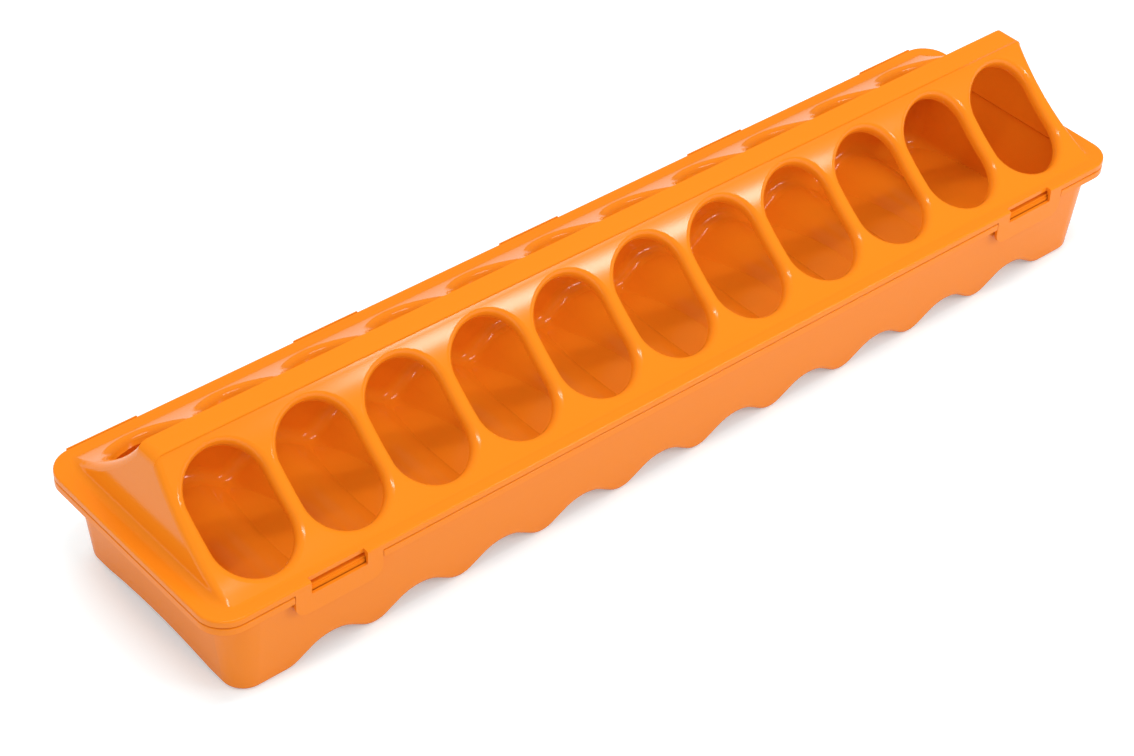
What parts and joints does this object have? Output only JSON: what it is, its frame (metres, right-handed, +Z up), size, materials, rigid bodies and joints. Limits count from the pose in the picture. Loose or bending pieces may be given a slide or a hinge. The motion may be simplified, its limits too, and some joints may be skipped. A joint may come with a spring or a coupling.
{
  "type": "poultry feeder",
  "caption": "Long plastic trough feeder with a hinged gabled lid, rows of rolled oval feeding openings and a wavy base",
  "frame": {"origin": "bottom centre: on the ground plane, midway between the two ends and between the front and back rims", "axes": "+X along the length, +Y from the clip side to the hinge side, +Z up"},
  "size_m": [0.5, 0.1219, 0.089],
  "materials": {
    "trough_plastic": "smooth orange moulded plastic, satin gloss",
    "lid_plastic": "smooth orange moulded plastic, satin gloss"
  },
  "bodies": {
    "trough": {"trough": "trough_plastic"},
    "lid": {"lid": "lid_plastic"}
  },
  "joints": [
    {"name": "lid_hinge", "type": "hinge", "parent": "trough", "child": "lid", "pos_m": [0, 0.0611, 0.04455], "axis": [-1, 0, 0], "range_deg": [0, 110]}
  ]
}
